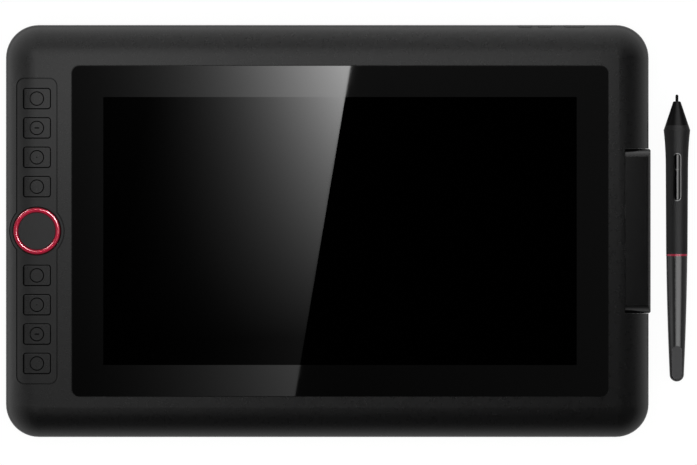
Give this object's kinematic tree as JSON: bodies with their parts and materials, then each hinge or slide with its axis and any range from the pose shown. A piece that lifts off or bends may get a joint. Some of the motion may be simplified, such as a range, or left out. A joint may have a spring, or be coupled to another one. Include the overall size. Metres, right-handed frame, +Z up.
{
  "type": "pen display",
  "caption": "Slim pen display with a glass screen, a strip of side keys around a turning dial, a pull-off bay cover and a cordless pen.",
  "frame": {"origin": "centre of the set seen from above (tablet with its pen beside it), on the desk under the rubber feet", "axes": "+X along the tablet towards the pen, +Y towards the far edge with the power button, +Z up out of the screen"},
  "size_m": [0.4152, 0.25, 0.0161],
  "materials": {
    "case": "fine spark-eroded texture",
    "strip": "fine texture",
    "key": "fine texture",
    "glass": "polished",
    "mask": "black ink",
    "tape": "foam tape",
    "panel": "polariser film",
    "guide": "clear acrylic",
    "led": "lamp strip",
    "tray": "stamped",
    "board": "circuit board",
    "chip": "moulded",
    "shield": "cold rolled",
    "chassis": "stamped",
    "steel": "plated",
    "dome": "pressed",
    "ribbon": "polyimide",
    "screw": "blackened",
    "rubber": "matt",
    "dial_metal": "anodised",
    "dial_face": "fine texture",
    "badge": "smooth",
    "pen_rubber": "soft touch",
    "pen_gloss": "polished",
    "pen_satin": "satin",
    "pen_rocker": "polished",
    "pen_plate": "satin",
    "copper": "wound",
    "nib": "hard plastic",
    "bezel": "polished",
    "accent": "anodised"
  },
  "bodies": {
    "tablet": {"top_case": "case", "rear_cover": "case", "key_panel": "strip", "cover_glass": "glass", "screen_mask": "mask", "glass_tape": "tape", "lcd_panel": "panel", "light_guide": "guide", "led_strip": "led", "backlight_tray": "tray", "sensor_board": "board", "shield_plate": "shield", "chassis_plate": "chassis", "main_board": "board", "board_chips": "chip", "usb_socket_upper": "steel", "usb_socket_lower": "steel", "key_board": "board", "key_domes": "dome", "side_board": "board", "side_switches": "chip", "key_ribbon": "ribbon", "panel_ribbon": "ribbon", "sensor_ribbon": "ribbon", "case_screws": "screw", "board_screws": "steel", "chassis_screws": "steel", "foot_near": "rubber", "foot_far": "rubber", "encoder_housing": "steel"},
    "dial": {"dial_ring": "dial_metal", "dial_cap": "dial_face", "dial_hub": "dial_face", "encoder_shaft": "steel"},
    "power": {"power_button": "key"},
    "brightness_up": {"brightness_up_button": "key"},
    "brightness_down": {"brightness_down_button": "key"},
    "bay_cover": {"port_cover": "case", "badge_plate": "badge"},
    "pen": {"pen_grip": "pen_rubber", "pen_nose": "pen_satin", "pen_coil": "copper", "pen_pressure_sensor": "chip", "pen_board": "board", "pen_rocker_switches": "chip", "pen_rocker_bezel": "bezel", "pen_rocker_pin": "steel", "pen_accent_ring": "accent", "pen_tail": "pen_gloss", "pen_end_plate": "pen_plate"},
    "nib": {"pen_nib": "nib"},
    "rocker": {"pen_rocker": "pen_rocker"},
    "key_1_cap": {"key_1": "key"},
    "key_2_cap": {"key_2": "key"},
    "key_3_cap": {"key_3": "key"},
    "key_4_cap": {"key_4": "key"},
    "key_5_cap": {"key_5": "key"},
    "key_6_cap": {"key_6": "key"},
    "key_7_cap": {"key_7": "key"},
    "key_8_cap": {"key_8": "key"}
  },
  "joints": [
    {"name": "key_1_press", "type": "slide", "parent": "tablet", "child": "key_1_cap", "axis": [0, 0, -1], "range_m": [0, 0.0005], "stiffness_N_per_m": 600, "springref_m": -0.0005},
    {"name": "key_2_press", "type": "slide", "parent": "tablet", "child": "key_2_cap", "axis": [0, 0, -1], "range_m": [0, 0.0005], "stiffness_N_per_m": 600, "springref_m": -0.0005},
    {"name": "key_3_press", "type": "slide", "parent": "tablet", "child": "key_3_cap", "axis": [0, 0, -1], "range_m": [0, 0.0005], "stiffness_N_per_m": 600, "springref_m": -0.0005},
    {"name": "key_4_press", "type": "slide", "parent": "tablet", "child": "key_4_cap", "axis": [0, 0, -1], "range_m": [0, 0.0005], "stiffness_N_per_m": 600, "springref_m": -0.0005},
    {"name": "key_5_press", "type": "slide", "parent": "tablet", "child": "key_5_cap", "axis": [0, 0, -1], "range_m": [0, 0.0005], "stiffness_N_per_m": 600, "springref_m": -0.0005},
    {"name": "key_6_press", "type": "slide", "parent": "tablet", "child": "key_6_cap", "axis": [0, 0, -1], "range_m": [0, 0.0005], "stiffness_N_per_m": 600, "springref_m": -0.0005},
    {"name": "key_7_press", "type": "slide", "parent": "tablet", "child": "key_7_cap", "axis": [0, 0, -1], "range_m": [0, 0.0005], "stiffness_N_per_m": 600, "springref_m": -0.0005},
    {"name": "key_8_press", "type": "slide", "parent": "tablet", "child": "key_8_cap", "axis": [0, 0, -1], "range_m": [0, 0.0005], "stiffness_N_per_m": 600, "springref_m": -0.0005},
    {"name": "dial_turn", "type": "hinge", "parent": "tablet", "child": "dial", "pos_m": [-0.1887, 0, 0.0139], "axis": [0, 0, 1], "continuous": true},
    {"name": "power_press", "type": "slide", "parent": "tablet", "child": "power", "axis": [0, -1, 0], "range_m": [0, 0.0004], "stiffness_N_per_m": 600, "springref_m": -0.0005},
    {"name": "brightness_up_press", "type": "slide", "parent": "tablet", "child": "brightness_up", "axis": [0, -1, 0], "range_m": [0, 0.0004], "stiffness_N_per_m": 600, "springref_m": -0.0005},
    {"name": "brightness_down_press", "type": "slide", "parent": "tablet", "child": "brightness_down", "axis": [0, -1, 0], "range_m": [0, 0.0004], "stiffness_N_per_m": 600, "springref_m": -0.0005},
    {"name": "bay_cover_pull", "type": "slide", "parent": "tablet", "child": "bay_cover", "axis": [1, 0, 0], "range_m": [0, 0.0068]},
    {"name": "pen_lift", "type": "slide", "parent": "tablet", "child": "pen", "axis": [0, 0, 1], "range_m": [0, 0.08]},
    {"name": "nib_press", "type": "slide", "parent": "pen", "child": "nib", "axis": [0, -0.9998, -0.0203], "range_m": [0, 0.0005], "stiffness_N_per_m": 1500, "springref_m": -0.0002},
    {"name": "rocker_tilt", "type": "hinge", "parent": "pen", "child": "rocker", "pos_m": [0.19955, 0.03742, 0.01183], "axis": [1, 0, 0], "range_deg": [-1.5, 1.5], "stiffness_Nm_per_rad": 0.1}
  ]
}
